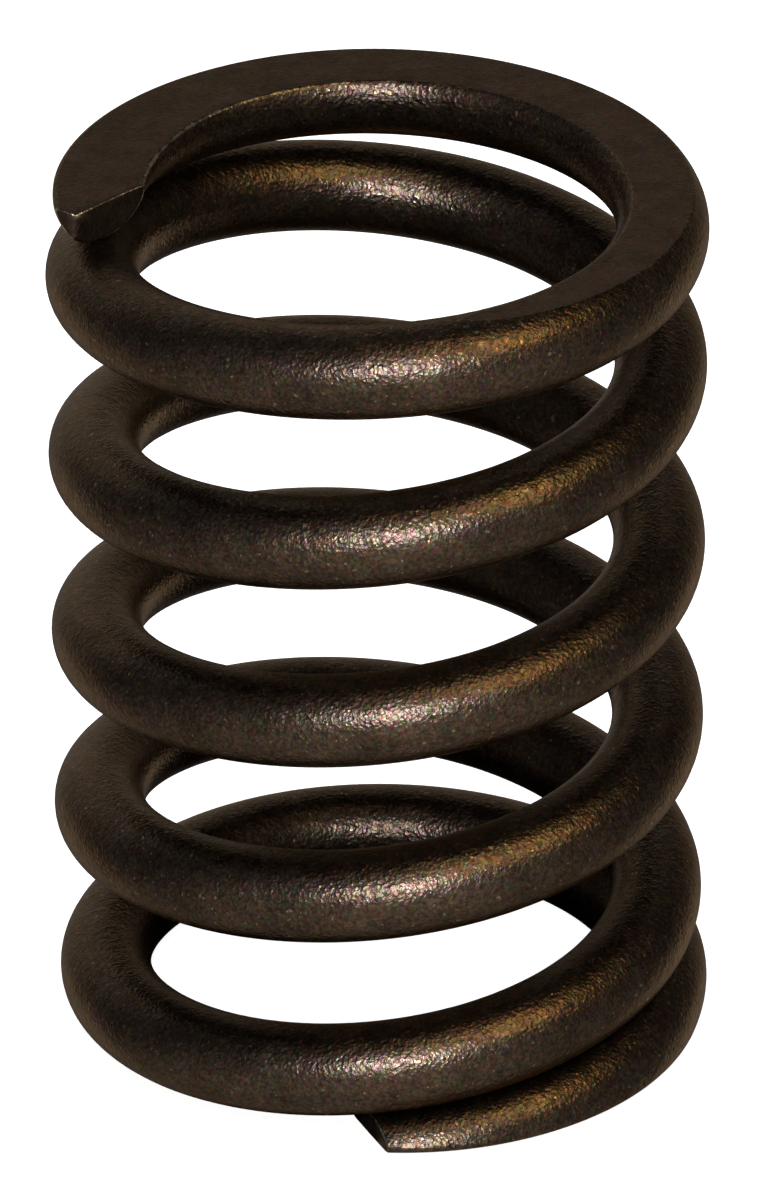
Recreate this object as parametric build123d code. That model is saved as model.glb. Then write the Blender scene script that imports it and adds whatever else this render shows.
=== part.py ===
"""Valve spring: a compression spring of round wire, closed and ground at both ends.

The origin is on the axis of the coil, in the plane of the lower ground face.
+Z runs along the axis to the upper ground face, and the coil is right-handed.
A place on the wire is given in turns, counted from the lower tip.
"""

from build123d import *
import math
import os

# The wire and the coil: millimetres, turns, and degrees seen from above
WIRE_DIAMETER = 5.14
MEAN_DIAMETER = 31.36
FREE_LENGTH = 50.8
LOWER_TIP_ANGLE = -92.0
UPPER_TIP_ANGLE = 187.0
WHOLE_TURNS = 5

# Each closed end: what grinding leaves of the tip, how far the tip lies against
# the next turn, and where the wire leaves that turn for the working coils
LOWER_TIP_THICKNESS = 1.40
UPPER_TIP_THICKNESS = 2.19
LOWER_TIP_SET = 0.233
UPPER_TIP_SET = 0.127
LOWER_CLOSED_TURN = 0.817
UPPER_CLOSED_TURN = 0.885
TIP_GAP = 0.08
SET_BLEND = 0.2
CLOSED_BLEND = 0.4

# How the ends depart from the round: the lower end coil stands a little to one
# side, the upper tip is turned in, and beyond it the upper end coil lies higher
# and further forward than an even one would, which lengthens its ground face
LOWER_COIL_SHIFT = 0.61
LOWER_SHIFT_ANGLE = -55.0
UPPER_TIP_TURNED_IN = 0.42
TURNED_IN_TURNS = 0.5
SHIFT_HELD_TURNS = 0.4
SHIFT_FADE_TURNS = 0.8
UPPER_COIL_LIFT = 0.55
UPPER_COIL_SHIFT = 0.78
UPPER_SHIFT_ANGLE = -90.0
LIFT_STARTS = 0.20
LIFT_FULL = 0.62
LIFT_FADES = 0.66
LIFT_ENDS = 0.95

# The sheared tips: how far each cut slants off the square, and the corner that
# is dressed off the upper one
LOWER_CUT_SLANT = 27.0
UPPER_CUT_SLANT = 40.0
UPPER_CORNER_WIDTH = 0.9
UPPER_CORNER_LENGTH = 2.4

# How much more than the wire is wound for each cut, and what the shear takes off:
# its length as a share of that overrun, its half width as a share of the radius
OVERRUN_SPARE = 0.1
SHEAR_LENGTH = 1.6
SHEAR_REACH = 1.3

# How finely the centreline is followed
STATIONS_PER_TURN = 12

wire_radius = WIRE_DIAMETER / 2
mean_radius = MEAN_DIAMETER / 2
total_turns = WHOLE_TURNS + (UPPER_TIP_ANGLE - LOWER_TIP_ANGLE) / 360
working_turns = total_turns - 2
tips = LOWER_TIP_THICKNESS + UPPER_TIP_THICKNESS

# Between turns that touch, the centreline rises by the wire and the gap, and by
# a little more because the wire lies on a slope
touching = WIRE_DIAMETER + TIP_GAP
steepest = (FREE_LENGTH + WIRE_DIAMETER - tips - 2 * touching) / working_turns
touching_rise = touching * math.hypot(1, steepest / (math.pi * MEAN_DIAMETER))
working_pitch = (FREE_LENGTH + WIRE_DIAMETER - tips - 2 * touching_rise) / working_turns


def eased(x):
    """A smooth step from 0 to 1 as x goes from 0 to 1"""
    x = min(max(x, 0), 1)
    return x * x * (3 - 2 * x)


def eased_area(turn, middle, blend):
    """The area up to turn under a smooth step that rises about its middle"""
    x = min(max((turn - middle) / blend + 0.5, 0), 1)
    return blend * (x**3 - x**4 / 2) + max(0, turn - middle - blend / 2)


def rise(turn, tip_set, closed_turn):
    """How far the wire has climbed from its tip.

    It has the working pitch along the tip, which lies against the next turn, a
    small pitch round the rest of the closed coil, and the working pitch again.
    One turn in, it stands clear of the tip by just the wire and the gap.
    """
    drop = (working_pitch - touching_rise) / (closed_turn - tip_set)
    closed = eased_area(turn, tip_set, SET_BLEND) - eased_area(turn, closed_turn, CLOSED_BLEND)
    return working_pitch * turn - drop * closed


def angle_at(turn):
    return math.radians(LOWER_TIP_ANGLE + 360 * turn)


def lifted_share(turn):
    """How much of its lift and shift the upper end coil has at a place on the wire"""
    from_tip = total_turns - turn
    gained = eased((from_tip - LIFT_STARTS) / (LIFT_FULL - LIFT_STARTS))
    lost = eased((from_tip - LIFT_FADES) / (LIFT_ENDS - LIFT_FADES))
    return gained - lost


def height_at(turn):
    if turn < total_turns / 2:
        tip_height = LOWER_TIP_THICKNESS - wire_radius
        return tip_height + rise(turn, LOWER_TIP_SET, LOWER_CLOSED_TURN)
    tip_height = FREE_LENGTH - UPPER_TIP_THICKNESS + wire_radius
    even = tip_height - rise(total_turns - turn, UPPER_TIP_SET, UPPER_CLOSED_TURN)
    return even + UPPER_COIL_LIFT * lifted_share(turn)


def radius_at(turn):
    from_shift = angle_at(turn) - math.radians(LOWER_SHIFT_ANGLE)
    shift_left = 1 - eased((turn - SHIFT_HELD_TURNS) / SHIFT_FADE_TURNS)
    turned_in = 1 - eased((total_turns - turn) / TURNED_IN_TURNS)
    lower_shift = LOWER_COIL_SHIFT * math.cos(from_shift) * shift_left
    from_upper_shift = angle_at(turn) - math.radians(UPPER_SHIFT_ANGLE)
    upper_shift = UPPER_COIL_SHIFT * math.cos(from_upper_shift) * lifted_share(turn)
    return mean_radius + lower_shift + upper_shift - UPPER_TIP_TURNED_IN * turned_in


def outward_at(turn):
    return Vector(math.cos(angle_at(turn)), math.sin(angle_at(turn)), 0)


def centre_at(turn):
    return outward_at(turn) * radius_at(turn) + Vector(0, 0, height_at(turn))


def heading_at(turn):
    step = 1e-4
    return (centre_at(turn + step) - centre_at(turn - step)).normalized()


def tangent_arcs(first, second):
    """Two arcs that run smoothly into each other between two places on the wire"""
    start, end = centre_at(first), centre_at(second)
    start_way, end_way = heading_at(first), heading_at(second)
    chord = end - start
    bend = 2 * (1 - start_way.dot(end_way))
    along = chord.dot(start_way + end_way)
    reach = (math.sqrt(along**2 + bend * chord.dot(chord)) - along) / bend
    start_corner = start + start_way * reach
    end_corner = end - end_way * reach
    middle = (start_corner + end_corner) / 2
    middle_way = (end_corner - start_corner).normalized()
    return [
        TangentArc(start, middle, tangent=start_way),
        TangentArc(middle, end, tangent=middle_way),
    ]


def overrun(slant):
    """How far past a tip the wire is wound, so that its slanting cut is whole"""
    return wire_radius * (math.tan(math.radians(slant)) + OVERRUN_SPARE)


def wound_wire():
    """The full round wire, wound to its pitch and running on a little past both tips"""
    turn_length = 2 * math.pi * mean_radius
    first = -overrun(LOWER_CUT_SLANT) / turn_length
    last = total_turns + overrun(UPPER_CUT_SLANT) / turn_length
    count = math.ceil((last - first) * STATIONS_PER_TURN)
    stations = [first + (last - first) * i / count for i in range(count + 1)]
    arcs = []
    for here, there in zip(stations, stations[1:]):
        arcs += tangent_arcs(here, there)
    section = Plane(origin=centre_at(first), x_dir=Vector(0, 0, 1), z_dir=heading_at(first))
    return sweep(section * Circle(wire_radius), path=Wire([arc.edge() for arc in arcs]))


def sheared_off(turn, away, slant, corner_width=0, corner_length=0):
    """What the shear takes off beyond a tip, clear of the turn that it lies against.

    The cut slants across the wire, and the dressed corner is on its outside.
    """
    along = heading_at(turn) * away
    flat = Plane(
        origin=centre_at(turn),
        x_dir=outward_at(turn),
        z_dir=outward_at(turn).cross(along),
    )
    lean = away * math.tan(math.radians(slant))
    far = SHEAR_LENGTH * overrun(slant)
    inside = -SHEAR_REACH * wire_radius
    outside = SHEAR_REACH * wire_radius
    corner = wire_radius - corner_width
    side = wire_radius * lean - corner_length
    outline = [(inside, inside * lean), (corner, corner * lean)]
    if corner_width > 0:
        side_slope = (side - corner * lean) / corner_width
        outline += [(outside, side + (outside - wire_radius) * side_slope)]
    else:
        outline += [(outside, outside * lean)]
    outline += [(outside, far), (inside, far)]
    clear = wire_radius + TIP_GAP / 2
    block = extrude(make_face(Polyline(*outline, close=True)), 2 * clear)
    return flat * Pos(0, 0, -clear) * block


spring = wound_wire()
spring -= sheared_off(0, -1, LOWER_CUT_SLANT)
spring -= sheared_off(total_turns, 1, UPPER_CUT_SLANT, UPPER_CORNER_WIDTH, UPPER_CORNER_LENGTH)

# Grinding keeps only what lies between the two seats
width = 2 * (MEAN_DIAMETER + WIRE_DIAMETER)
spring &= Pos(0, 0, FREE_LENGTH / 2) * Box(width, width, FREE_LENGTH)

os.makedirs("parts", exist_ok=True)
export_step(spring, "parts/valve_spring.step")
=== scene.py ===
import math

import bmesh
import bpy
import numpy as np
from mathutils import Matrix, Vector


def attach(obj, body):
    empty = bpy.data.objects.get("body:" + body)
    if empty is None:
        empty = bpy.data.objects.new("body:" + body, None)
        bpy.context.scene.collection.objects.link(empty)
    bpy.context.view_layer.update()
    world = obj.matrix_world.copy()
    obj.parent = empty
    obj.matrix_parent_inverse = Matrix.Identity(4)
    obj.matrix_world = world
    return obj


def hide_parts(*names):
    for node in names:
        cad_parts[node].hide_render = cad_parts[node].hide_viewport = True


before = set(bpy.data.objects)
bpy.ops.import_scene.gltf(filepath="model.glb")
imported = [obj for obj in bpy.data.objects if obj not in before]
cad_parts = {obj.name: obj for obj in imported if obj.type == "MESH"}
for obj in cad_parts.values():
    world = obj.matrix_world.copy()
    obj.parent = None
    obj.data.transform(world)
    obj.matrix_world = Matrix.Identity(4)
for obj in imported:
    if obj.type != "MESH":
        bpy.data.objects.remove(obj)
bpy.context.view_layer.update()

# The wire. One length of round spring steel, wound right-handed on a mandrel
# with its last turn closed down at each end. The lower end coil stands a little
# to one side, and the upper one lies high and forward, with its tip turned in.
mm = 0.001
wire_radius = 2.565 * mm
coil_radius = 15.68 * mm
free_length = 50.8 * mm
lower_tip_angle = math.radians(-92)
upper_tip_angle = math.radians(187)
whole_turns = 5
lower_tip_thickness = 1.40 * mm
upper_tip_thickness = 2.19 * mm
lower_tip_set = 0.233
upper_tip_set = 0.127
lower_closed_turn = 0.817
upper_closed_turn = 0.885
tip_gap = 0.09 * mm
set_blend = 0.2
closed_blend = 0.4
lower_coil_shift = 0.61 * mm
lower_shift_angle = math.radians(-55)
upper_tip_turned_in = 0.42 * mm
turned_in_turns = 0.5
shift_held_turns = 0.4
shift_fade_turns = 0.8
upper_coil_lift = 0.55 * mm
upper_coil_shift = 0.78 * mm
upper_shift_angle = math.radians(-90)
lift_starts = 0.20
lift_full = 0.62
lift_fades = 0.66
lift_ends = 0.95

total_turns = whole_turns + (upper_tip_angle - lower_tip_angle) / math.tau
working_turns = total_turns - 2
touching = 2 * wire_radius + tip_gap
centre_rise = free_length + 2 * wire_radius - lower_tip_thickness - upper_tip_thickness
steepest = (centre_rise - 2 * touching) / working_turns
touching_rise = touching * math.hypot(1, steepest / (math.tau * coil_radius))
working_pitch = (centre_rise - 2 * touching_rise) / working_turns


def eased(x):
    """A smooth step from 0 to 1 as x goes from 0 to 1"""
    x = np.clip(x, 0, 1)
    return x * x * (3 - 2 * x)


def eased_area(turn, middle, blend):
    """The area up to turn under a smooth step that rises about its middle"""
    x = np.clip((turn - middle) / blend + 0.5, 0, 1)
    return blend * (x**3 - x**4 / 2) + np.maximum(0, turn - middle - blend / 2)


def rise(turn, tip_set, closed_turn):
    """How far the wire has climbed from its tip, with a small pitch in the closed coil"""
    drop = (working_pitch - touching_rise) / (closed_turn - tip_set)
    closed = eased_area(turn, tip_set, set_blend) - eased_area(turn, closed_turn, closed_blend)
    return working_pitch * turn - drop * closed


def lifted_share(turn):
    """How much of its lift and shift the upper end coil has at a place on the wire"""
    from_tip = total_turns - turn
    gained = eased((from_tip - lift_starts) / (lift_full - lift_starts))
    lost = eased((from_tip - lift_fades) / (lift_ends - lift_fades))
    return gained - lost


def height_at(turn):
    lower = lower_tip_thickness - wire_radius
    upper = free_length - upper_tip_thickness + wire_radius
    upper += upper_coil_lift * lifted_share(turn)
    return np.where(
        turn < total_turns / 2,
        lower + rise(turn, lower_tip_set, lower_closed_turn),
        upper - rise(total_turns - turn, upper_tip_set, upper_closed_turn),
    )


def angle_at(turn):
    return lower_tip_angle + math.tau * turn


def radius_at(turn):
    shift_left = 1 - eased((turn - shift_held_turns) / shift_fade_turns)
    lower_shift = lower_coil_shift * np.cos(angle_at(turn) - lower_shift_angle) * shift_left
    upper_shift = upper_coil_shift * np.cos(angle_at(turn) - upper_shift_angle) * lifted_share(turn)
    turned_in = 1 - eased((total_turns - turn) / turned_in_turns)
    return coil_radius + lower_shift + upper_shift - upper_tip_turned_in * turned_in


# The ground ends. A grinding wheel takes each end coil down to a flat crescent
# that runs out where the wire climbs away. Tumbling rounds off its edges, and
# they are rubbed bright, most of all on the inner edge beside the upper tip.
edge_round = 0.28 * mm
worn_edge_angle = math.radians(25)
edge_wear = 0.6
inner_edge_wear = 1.0
inner_wear_full = 0.15
inner_wear_ends = 0.40
flat_steps = 3
round_steps = 4
side_steps = 24
FLAT_BELOW, EDGE_BELOW, SIDE, EDGE_ABOVE, FLAT_ABOVE = range(5)

# Each point of the section, up its outside and down its inside: the stretch that
# it is on, and how far along that stretch it is
section = [(FLAT_BELOW, i / flat_steps) for i in range(flat_steps)]
section += [(EDGE_BELOW, i / round_steps) for i in range(round_steps)]
section += [(SIDE, i / side_steps) for i in range(side_steps)]
section += [(EDGE_ABOVE, i / round_steps) for i in range(round_steps)]
section += [(FLAT_ABOVE, 1 - i / flat_steps) for i in range(flat_steps + 1)]
outer_half = len(section)
section += section[-2:0:-1]
kind = np.array([k for k, _ in section])
part = np.array([p for _, p in section])
hand = np.where(np.arange(len(section)) < outer_half, 1, -1)


def section_at(turn, inset):
    """Where the points of the wire's section lie: outward, upward, and on a worn edge"""
    step = 1e-4
    climb = (height_at(turn + step) - height_at(turn - step)) / (2 * step)
    stretch = np.hypot(1, climb / (math.tau * radius_at(turn)))
    radius = wire_radius - inset
    edge = edge_round - inset
    quarter = math.pi / 2
    corner, flat_end, reach, worn = {}, {}, {}, {}
    from_tip = total_turns - turn
    near_tip = eased((inner_wear_ends - from_tip) / (inner_wear_ends - inner_wear_full))
    rubbed = edge_wear + (inner_edge_wear - edge_wear) * near_tip * (hand < 0)
    for side, plane in ((-1, 0.0), (1, free_length)):
        to_plane = side * (plane - height_at(turn)) / stretch - inset
        corner[side] = np.arcsin(np.clip((to_plane - edge) / (radius - edge), -1, 1))
        flat_end[side] = (radius - edge) * np.cos(corner[side])
        reach[side] = edge + (radius - edge) * np.sin(corner[side])
        sharpness = np.clip((quarter - corner[side]) / worn_edge_angle, 0, 1)
        worn[side] = rubbed * sharpness * np.sin(math.pi * part)
    turned = np.select(
        [kind == EDGE_BELOW, kind == SIDE, kind == EDGE_ABOVE],
        [
            -quarter + (quarter - corner[-1]) * part,
            -corner[-1] + (corner[-1] + corner[1]) * part,
            corner[1] + (quarter - corner[1]) * part,
        ],
    )
    round_out, round_up = np.cos(turned), np.sin(turned)
    out = np.select(
        [kind == FLAT_BELOW, kind == EDGE_BELOW, kind == SIDE, kind == EDGE_ABOVE],
        [
            flat_end[-1] * part,
            flat_end[-1] + edge * round_out,
            radius * round_out,
            flat_end[1] + edge * round_out,
        ],
        flat_end[1] * part,
    )
    up = np.select(
        [kind == FLAT_BELOW, kind == EDGE_BELOW, kind == SIDE, kind == EDGE_ABOVE],
        [
            -reach[-1],
            edge - reach[-1] + edge * round_up,
            radius * round_up,
            reach[1] - edge + edge * round_up,
        ],
        reach[1],
    )
    wear = np.select([kind == EDGE_BELOW, kind == EDGE_ABOVE], [worn[-1], worn[1]])
    return hand * out, up * stretch, wear


# The sheared tips. Each end of the wire is cropped at a slant, which leaves a
# small round along the rim of the cut. The outer corner of the upper tip is
# dressed back.
lower_cut_slant = math.tan(math.radians(27))
upper_cut_slant = math.tan(math.radians(40))
upper_corner_width = 0.9 * mm
upper_corner_length = 2.4 * mm
corner_round = 0.5 * mm
cut_round = 0.12 * mm
cut_blend_turns = 0.09
lean_passes = 3
rim_angles = (math.pi / 6, math.pi / 3, math.pi / 2)
cap_rings = 6


def cut_at(out, upper):
    """How far beyond the tip the cut lies, at a place outward of the middle of the wire"""
    if not upper:
        return -lower_cut_slant * out
    corner = wire_radius - upper_corner_width
    fall = corner * upper_cut_slant + upper_corner_length - wire_radius * upper_cut_slant
    slanted = upper_cut_slant * out
    dressed = corner * upper_cut_slant - (out - corner) * fall / upper_corner_width
    return (slanted + dressed - np.hypot(slanted - dressed, corner_round)) / 2


def in_coil(turn, out, up):
    angle, radius = angle_at(turn), radius_at(turn) + out
    return np.stack([radius * np.cos(angle), radius * np.sin(angle), height_at(turn) + up], axis=-1)


def leaned(turns, upper, out, back, lean):
    """The places in turns of points that lean over towards the cut"""
    way = 1 if upper else -1
    beyond = (cut_at(out, upper) - back) * lean
    return turns + way * np.arcsin(beyond / (radius_at(turns) + out)) / math.tau


def rings_at(turns, upper, inset=0.0, back=0.0):
    """Rings of points round the wire, which lean over to lie along the cut near a tip"""
    lean = 1 - eased((total_turns - turns if upper else turns) / cut_blend_turns)
    local = np.broadcast_to(turns, (turns.shape[0], len(section)))
    for _ in range(lean_passes):
        out, _, _ = section_at(local, inset)
        local = leaned(turns, upper, out, back, lean)
    out, up, wear = section_at(local, inset)
    return in_coil(local, out, up), out, up, wear


def tip_cap(upper):
    """The rings that close a tip: a rounded rim, then the sheared face down to its middle"""
    tip = np.array([[total_turns if upper else 0.0]])
    cap, cap_wear = [], []
    for turned in rim_angles:
        inset = cut_round * (1 - math.cos(turned))
        back = cut_round * (1 - math.sin(turned))
        points, out, up, _ = rings_at(tip, upper, inset, back)
        cap.append(points[0])
        cap_wear.append(np.full(len(section), math.sin(2 * turned)))
    middle_out, middle_up = out.mean(), up.mean()
    for i in range(1, cap_rings + 1):
        share = 1 - i / cap_rings
        face_out = middle_out + (out - middle_out) * share
        face_up = middle_up + (up - middle_up) * share
        turn = leaned(tip, upper, face_out, back=0, lean=1)
        cap.append(in_coil(turn, face_out, face_up)[0])
        cap_wear.append(np.zeros(len(section)))
    return np.array(cap[:-1]), np.array(cap_wear[:-1]), cap[-1][0]


# The whole spring. Rings of points from tip to tip carry one closed skin, which
# is peened round the wire, ground on the two seats and sheared on the two cuts.
# It is a single piece of steel, and nothing is fixed to it.
stations = 1290
seat_tolerance = 1e-6 * mm
merged_within = 0.002 * mm
PEENED, GROUND, SHEARED = range(3)

all_turns = np.linspace(0, total_turns, stations + 1)[:, None]
half = stations // 2
lower_rings, _, _, lower_wear = rings_at(all_turns[:half], upper=False, back=cut_round)
upper_rings, _, _, upper_wear = rings_at(all_turns[half:], upper=True, back=cut_round)
lower_cap, lower_cap_wear, lower_middle = tip_cap(upper=False)
upper_cap, upper_cap_wear, upper_middle = tip_cap(upper=True)
rings = np.concatenate([lower_cap[::-1], lower_rings, upper_rings, upper_cap])
wear = np.concatenate([lower_cap_wear[::-1], lower_wear, upper_wear, upper_cap_wear])
ring_count, ring_size = wear.shape

vertices = np.concatenate([rings.reshape(-1, 3), [lower_middle, upper_middle]])
above_lower_seat = abs(vertices[:, 2])
below_upper_seat = abs(vertices[:, 2] - free_length)
on_seat = np.minimum(above_lower_seat, below_upper_seat) < seat_tolerance
cut_rings = len(lower_cap) - len(rim_angles)
faces, finishes = [], []
for i in range(ring_count - 1):
    here, there = i * ring_size, (i + 1) * ring_size
    on_cut = i < cut_rings or i >= ring_count - 1 - cut_rings
    for j in range(ring_size):
        k = (j + 1) % ring_size
        face = [here + j, here + k, there + k, there + j]
        faces.append(face)
        if on_cut:
            finishes.append(SHEARED)
        elif on_seat[face].all():
            finishes.append(GROUND)
        else:
            finishes.append(PEENED)
last_ring = (ring_count - 1) * ring_size
lower_centre = ring_count * ring_size
upper_centre = lower_centre + 1
for j in range(ring_size):
    k = (j + 1) % ring_size
    faces.append([lower_centre, k, j])
    faces.append([upper_centre, last_ring + j, last_ring + k])
    finishes += [SHEARED, SHEARED]

wire_mesh = bpy.data.meshes.new("valve_spring_wire")
wire_mesh.from_pydata(vertices.tolist(), [], faces)
wire_mesh.polygons.foreach_set("material_index", finishes)
worn_edge = wire_mesh.attributes.new("worn_edge", "FLOAT", "POINT")
worn_edge.data.foreach_set("value", np.append(wear.ravel(), [0, 0]))
wire_bmesh = bmesh.new()
wire_bmesh.from_mesh(wire_mesh)
bmesh.ops.remove_doubles(wire_bmesh, verts=wire_bmesh.verts, dist=merged_within)
bmesh.ops.recalc_face_normals(wire_bmesh, faces=wire_bmesh.faces)
for face in wire_bmesh.faces:
    face.smooth = True
wire_bmesh.to_mesh(wire_mesh)
wire_bmesh.free()
wire = bpy.data.objects.new("valve_spring_wire", wire_mesh)
bpy.context.scene.collection.objects.link(wire)
wire.modifiers.new("flat_faces_shade_flat", "WEIGHTED_NORMAL")
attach(wire, "root")
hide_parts("valve_spring")

# The peened finish. After grinding, the whole spring is shot-peened, which covers
# it in fine dimples, and is then heated and dipped in oil. The oil bakes on as a
# dark bronze skin, with a few bare specks, and rubs off along the edges.
dimples_per_metre = 4800
dimple_relief = 0.30
grain_per_metre = 5600
grain_relief = 0.36
waves_per_metre = 2100
wave_relief = 0.60
relief_height = 0.067 * mm
skin_dark = (0.058, 0.041, 0.030)
skin_light = (0.097, 0.069, 0.049)
skin_grazing = (0.88, 0.75, 0.62)
clouds_per_metre = 420
thin_patches_per_metre = 4200
thinnest_skin = 0.45
dimple_tint = 0.24
speck = (0.20, 0.145, 0.095)
specks_per_metre = 3400
bare_steel = (0.36, 0.32, 0.25)
rubbed_patches_per_metre = 1600
peened_sheens_per_metre = 1500
peened_roughness = (0.27, 0.38)


def steel_finish(name):
    """A metal finish of its own on the wire, and its shader"""
    made = bpy.data.materials.new(name)
    made.use_nodes = True
    wire_mesh.materials.append(made)
    shader = made.node_tree.nodes["Principled BSDF"]
    shader.inputs["Metallic"].default_value = 1
    shader.inputs["Specular Tint"].default_value = (*skin_grazing, 1)
    return made.node_tree, shader


def textured(tree, texture, **values):
    """A procedural texture laid through the metal"""
    place = tree.nodes.new("ShaderNodeTexCoord")
    made = tree.nodes.new(texture)
    for name, value in values.items():
        made.inputs[name].default_value = value
    tree.links.new(place.outputs["Object"], made.inputs["Vector"])
    return made


def noise(tree, per_metre, detail=2.0, rough=0.5):
    made = textured(tree, "ShaderNodeTexNoise", Scale=per_metre, Detail=detail, Roughness=rough)
    return made.outputs["Fac"]


def ramp(tree, value, *stops):
    """Colours that follow a value, with each stop's place from 0 to 1 before its colour"""
    made = tree.nodes.new("ShaderNodeValToRGB")
    while len(made.color_ramp.elements) < len(stops):
        made.color_ramp.elements.new(1)
    for element, (at, colour) in zip(made.color_ramp.elements, stops):
        element.position = at
        element.color = (*colour, 1)
    tree.links.new(value, made.inputs["Fac"])
    return made.outputs["Color"]


def grey(level):
    return (level, level, level)


def arithmetic(tree, operation, first, second):
    made = tree.nodes.new("ShaderNodeMath")
    made.operation = operation
    for socket, value in zip(made.inputs, (first, second)):
        if isinstance(value, (int, float)):
            socket.default_value = value
        else:
            tree.links.new(value, socket)
    return made.outputs["Value"]


def blended(tree, amount, under, over, way="MIX"):
    """One colour laid over another by an amount, in one of the ways of mixing"""
    made = tree.nodes.new("ShaderNodeMix")
    made.data_type = "RGBA"
    made.blend_type = way
    sockets = [s for s in made.inputs if s.enabled]
    for socket, value in zip(sockets, (amount, under, over)):
        if isinstance(value, (int, float)):
            socket.default_value = value
        elif isinstance(value, tuple):
            socket.default_value = (*value, 1)
        else:
            tree.links.new(value, socket)
    return next(s for s in made.outputs if s.enabled)


def relief(tree, shader, height, distance):
    bump = tree.nodes.new("ShaderNodeBump")
    bump.inputs["Distance"].default_value = distance
    tree.links.new(height, bump.inputs["Height"])
    tree.links.new(bump.outputs["Normal"], shader.inputs["Normal"])


def sheens(tree, shader, per_metre, roughness):
    """Patches of sheen, from the smoothest to the roughest of the finish"""
    smoothest, roughest = roughness
    patches = noise(tree, per_metre, detail=3, rough=0.6)
    shine = ramp(tree, patches, (0.3, grey(smoothest)), (0.7, grey(roughest)))
    tree.links.new(shine, shader.inputs["Roughness"])


peened, shader = steel_finish("peened_oiled_steel")
dimples = textured(peened, "ShaderNodeTexVoronoi", Scale=dimples_per_metre)
bowls = arithmetic(peened, "POWER", dimples.outputs["Distance"], 2)
grain = noise(peened, grain_per_metre, detail=1.5)
waves = noise(peened, waves_per_metre)
height = arithmetic(peened, "MULTIPLY", bowls, dimple_relief)
for bumps, depth in ((grain, grain_relief), (waves, wave_relief)):
    height = arithmetic(peened, "ADD", height, arithmetic(peened, "MULTIPLY", bumps, depth))
relief(peened, shader, height, relief_height)

clouds = noise(peened, clouds_per_metre, detail=5, rough=0.7)
skin = ramp(peened, clouds, (0.35, skin_dark), (0.65, skin_light))
thin_patches = noise(peened, thin_patches_per_metre, detail=3, rough=0.75)
thickness = ramp(peened, thin_patches, (0.38, grey(thinnest_skin)), (0.62, grey(1)))
skin = blended(peened, 1, skin, thickness, "MULTIPLY")
skin = blended(peened, dimple_tint, skin, dimples.outputs["Color"], "OVERLAY")
specks = ramp(peened, noise(peened, specks_per_metre, detail=1), (0.69, grey(0)), (0.76, grey(1)))
skin = blended(peened, specks, skin, speck)

edges = peened.nodes.new("ShaderNodeAttribute")
edges.attribute_name = "worn_edge"
rubbed_patches = noise(peened, rubbed_patches_per_metre, detail=3, rough=0.6)
rubbed = arithmetic(peened, "MULTIPLY", edges.outputs["Fac"], rubbed_patches)
bared = ramp(peened, rubbed, (0.32, grey(0)), (0.52, grey(1)))
peened.links.new(blended(peened, bared, skin, bare_steel), shader.inputs["Base Color"])
sheens(peened, shader, peened_sheens_per_metre, peened_roughness)

# The ground finish. The seats are ground before the peening, which leaves them
# matt and even, with a faint mottle under the oil.
marks_per_metre = 6240
mark_relief = 0.02 * mm
mark_tint = 0.3
ground_dark = (0.044, 0.030, 0.023)
ground_light = (0.075, 0.050, 0.037)
mottles_per_metre = 700
ground_sheens_per_metre = 900
ground_roughness = (0.42, 0.54)

ground, shader = steel_finish("ground_oiled_steel")
marks = textured(ground, "ShaderNodeTexVoronoi", Scale=marks_per_metre)
relief(ground, shader, marks.outputs["Distance"], mark_relief)
mottles = noise(ground, mottles_per_metre, detail=5, rough=0.7)
mottled = ramp(ground, mottles, (0.35, ground_dark), (0.65, ground_light))
marked = blended(ground, mark_tint, mottled, marks.outputs["Color"], "OVERLAY")
ground.links.new(marked, shader.inputs["Base Color"])
sheens(ground, shader, ground_sheens_per_metre, ground_roughness)

# The sheared finish. The shear smears the steel and then tears it, which leaves
# each cut face dull and rough across the wire.
tears_per_metre = 1100
grit_per_metre = 4200
tear_relief = 0.05 * mm
sheared_dark = (0.022, 0.015, 0.011)
sheared_light = (0.048, 0.034, 0.025)
stains_per_metre = 600
sheared_sheens_per_metre = 1500
sheared_roughness = (0.45, 0.6)

torn, shader = steel_finish("sheared_oiled_steel")
tears = noise(torn, tears_per_metre, detail=4, rough=0.65)
relief(torn, shader, arithmetic(torn, "ADD", tears, noise(torn, grit_per_metre)), tear_relief)
stains = noise(torn, stains_per_metre, detail=4, rough=0.7)
stained = ramp(torn, stains, (0.3, sheared_dark), (0.7, sheared_light))
torn.links.new(stained, shader.inputs["Base Color"])
sheens(torn, shader, sheared_sheens_per_metre, sheared_roughness)

# The floor. The spring stands on a wide sheet of pale matt card. The sheet lies a
# hair below the lower seat, so that the two don't share a plane, and the wire
# doesn't mirror it.
floor_half = 1.5
floor_drop = 0.03 * mm
floor_pale = (0.9, 0.9, 0.9)


def matt_card(name, colour):
    made = bpy.data.materials.new(name)
    made.use_nodes = True
    shader = made.node_tree.nodes["Principled BSDF"]
    shader.inputs["Base Color"].default_value = (*colour, 1)
    shader.inputs["Roughness"].default_value = 1
    shader.inputs["Specular IOR Level"].default_value = 0
    return made


floor_corners = [
    (x * floor_half, y * floor_half, -floor_drop) for x, y in ((-1, -1), (1, -1), (1, 1), (-1, 1))
]
floor_mesh = bpy.data.meshes.new("floor")
floor_mesh.from_pydata(floor_corners, [], [(0, 1, 2, 3)])
floor_mesh.materials.append(matt_card("floor_white", floor_pale))
floor = bpy.data.objects.new("floor", floor_mesh)
floor.visible_glossy = False
floor_only = bpy.data.collections.new("floor_only")
bpy.context.scene.collection.children.link(floor_only)
floor_only.objects.link(floor)

# The room. Its walls are plain white to the camera. The wire mirrors them as soft
# glows: two low in front, three behind it to the sides, and one up at the back.
white = (1, 1, 1)
unlit = (0, 0, 0)

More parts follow.
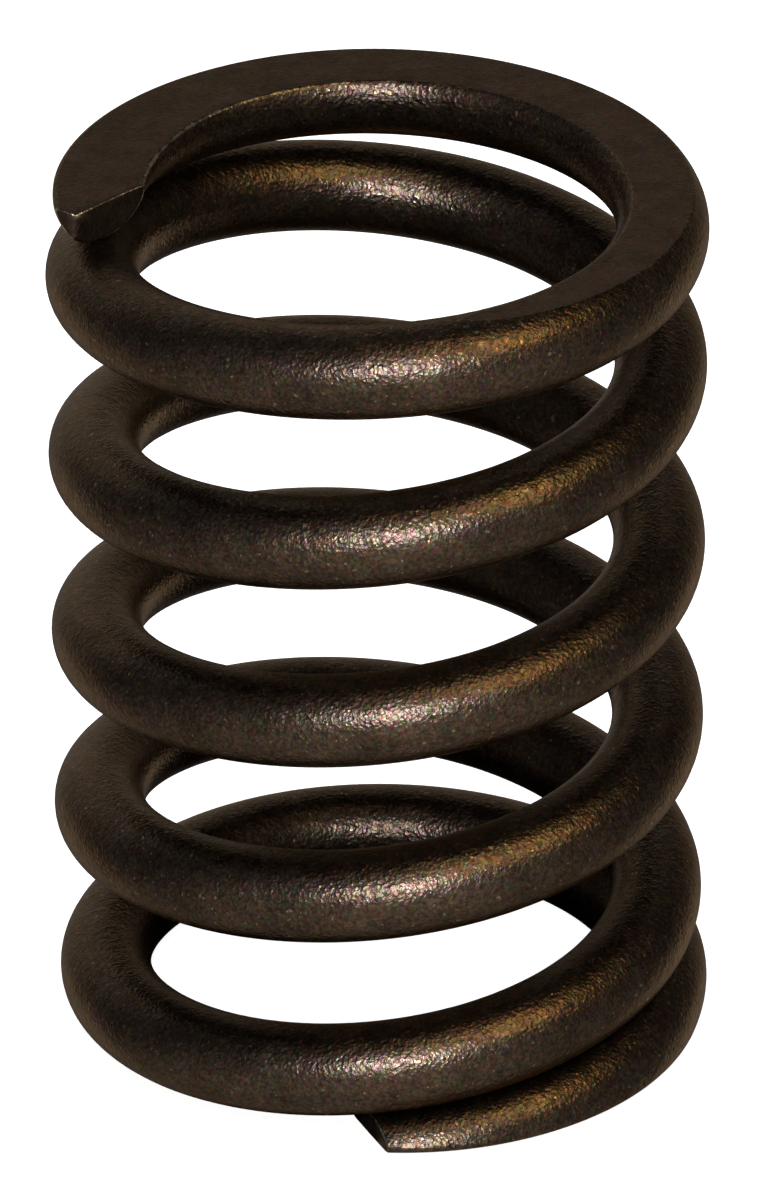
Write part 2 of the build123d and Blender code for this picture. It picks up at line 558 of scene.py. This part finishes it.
# The colours of each glow run from 0, opposite its middle, to 1, at its middle
front_glow = [
    (0.0, (0.08, 0.08, 0.09)),
    (0.22, (0.06, 0.06, 0.07)),
    (0.36, (0.13, 0.13, 0.14)),
    (0.55, (0.25, 0.24, 0.24)),
    (0.95, (0.80, 0.76, 0.68)),
]
back_glow = [(0.82, unlit), (1.0, (0.40, 0.40, 0.40))]
side_glow = [(0.955, unlit), (0.995, (0.45, 0.41, 0.36))]
right_glow = [(0.93, unlit), (0.985, (0.21, 0.19, 0.16))]
table_glow = [(0.94, unlit), (0.995, (0.45, 0.37, 0.28))]

world = bpy.data.worlds.new("studio")
bpy.context.scene.world = world
world.use_nodes = True
room = world.node_tree
ray = room.nodes.new("ShaderNodeLightPath")
room_place = room.nodes.new("ShaderNodeTexCoord")


def direction(azimuth, elevation):
    """The way from the spring, with the azimuth counted from the front to the right"""
    a, e = math.radians(azimuth), math.radians(elevation)
    return Vector((math.sin(a) * math.cos(e), -math.cos(a) * math.cos(e), math.sin(e)))


def glow(azimuth, elevation, colours):
    """Light of the room that changes with the angle from one direction"""
    towards = room.nodes.new("ShaderNodeVectorMath")
    towards.operation = "DOT_PRODUCT"
    towards.inputs[1].default_value = direction(azimuth, elevation)
    room.links.new(room_place.outputs["Generated"], towards.inputs[0])
    share = room.nodes.new("ShaderNodeMapRange")
    share.inputs["From Min"].default_value = -1
    share.inputs["From Max"].default_value = 1
    room.links.new(towards.outputs["Value"], share.inputs["Value"])
    return ramp(room, share.outputs["Result"], *colours)


room_light = glow(0, -31, front_glow)
for azimuth, elevation, colours in (
    (-160, 19, back_glow),
    (-130, -28, side_glow),
    (130, -28, side_glow),
    (146, -8, right_glow),
    (4, -16, table_glow),
):
    room_light = blended(room, 1, room_light, glow(azimuth, elevation, colours), "ADD")
walls = blended(room, ray.outputs["Is Camera Ray"], room_light, white)
room.links.new(walls, room.nodes["Background"].inputs["Color"])

# The lamps. A small cool one in front and two warm ones to the right light the
# spring alone. Two wide ones overhead light the floor alone, and only the weaker
# of them casts the spring's shadow on it.
cool = (0.82, 0.86, 0.94)
amber = (1, 0.70, 0.24)
straw = (1, 0.80, 0.52)


def lamp(name, azimuth, elevation, distance, size, power, colour, lit, shadows=None):
    """A round soft box, placed in degrees and metres and aimed at the middle of the spring"""
    light = bpy.data.lights.new(name, "AREA")
    light.shape = "DISK"
    light.size = size
    light.energy = power
    light.color = colour
    box = bpy.data.objects.new(name, light)
    away = direction(azimuth, elevation)
    box.location = Vector((0, 0, free_length / 2)) + away * distance
    box.rotation_euler = away.to_track_quat("Z", "Y").to_euler()
    bpy.context.scene.collection.objects.link(box)
    box.light_linking.receiver_collection = lit
    if shadows:
        box.light_linking.blocker_collection = shadows


spring_only = bpy.data.collections.new("spring_only")
bpy.context.scene.collection.children.link(spring_only)
spring_only.objects.link(wire)
lamp("front_light", 0, 30.5, 0.35, size=0.07, power=1.55, colour=cool, lit=spring_only)
lamp("warm_light", 49, 52, 0.6, size=0.31, power=1.4, colour=amber, lit=spring_only)
lamp("high_light", 32, 72, 0.6, size=0.2, power=0.2, colour=straw, lit=spring_only)
lamp("floor_light", 0, 90, 1.5, size=2, power=40, colour=white, lit=floor_only, shadows=floor_only)
lamp("shadow_light", 0, 88, 1.5, size=1.5, power=8, colour=white, lit=floor_only)

# The painted shade cards. A rolled brown card stands inside the coil and a black card
# lies under it. The camera doesn't see them, and only the wire mirrors them. They are
# painted shade: they stand in for the shade inside the coil and for the spring's own
# shadow on the floor, and keep the mirrored inside of the far turns dark.
card_sides = 48
rolled_card_radius = 7 * mm
rolled_card_painted_shade_brown = (0.20, 0.17, 0.13)
under_card_radius = 17 * mm
under_card_thickness = 0.01 * mm
under_card_drop = 0.015 * mm
under_card_painted_shadow_black = (0.01, 0.01, 0.01)


def painted_shade_card(name, radius, height, bottom, colour):
    card_bmesh = bmesh.new()
    bmesh.ops.create_cone(
        card_bmesh, cap_ends=True, segments=card_sides, radius1=radius, radius2=radius, depth=height
    )
    card_mesh = bpy.data.meshes.new(name)
    card_bmesh.to_mesh(card_mesh)
    card_bmesh.free()
    card_mesh.materials.append(matt_card(name, colour))
    card = bpy.data.objects.new(name, card_mesh)
    card.location = (0, 0, bottom + height / 2)
    card.visible_camera = False
    card.visible_diffuse = False
    card.visible_shadow = False
    card.visible_transmission = False
    bpy.context.scene.collection.objects.link(card)


# Painted shade inside the coil, and a painted shadow of the spring on the floor under it, both seen
# only in the wire's reflections
painted_shade_card("painted_shade_in_coil", rolled_card_radius, free_length, 0, rolled_card_painted_shade_brown)
painted_shade_card(
    "painted_shadow_under_coil", under_card_radius, under_card_thickness, -under_card_drop, under_card_painted_shadow_black
)

# The camera. It stands well back, looks down on the spring and leans a hair to
# one side. Its lens follows from the scale of the picture at the spring.
camera_elevation = math.radians(28.675)
camera_distance = 666.9 * mm
camera_roll = math.radians(-0.17)
target = Vector((0.067 * mm, 0, 25.077 * mm))
pixels_per_mm = 17.904
image_height = 1200
sensor = 36
nearest_seen = 10 * mm

camera_data = bpy.data.cameras.new("camera")
camera_data.sensor_width = sensor
camera_data.lens = pixels_per_mm * camera_distance / mm * sensor / image_height
camera_data.clip_start = nearest_seen
camera = bpy.data.objects.new("camera", camera_data)
back = Vector((0, -math.cos(camera_elevation), math.sin(camera_elevation)))
level = Vector((1, 0, 0))
upward = back.cross(level)
place = Matrix.Translation(target + back * camera_distance)
facing = Matrix((level, upward, back)).transposed().to_4x4()
camera.matrix_world = place @ facing @ Matrix.Rotation(camera_roll, 4, "Z")
bpy.context.scene.collection.objects.link(camera)
bpy.context.scene.camera = camera
bpy.context.scene.view_settings.view_transform = "Standard"
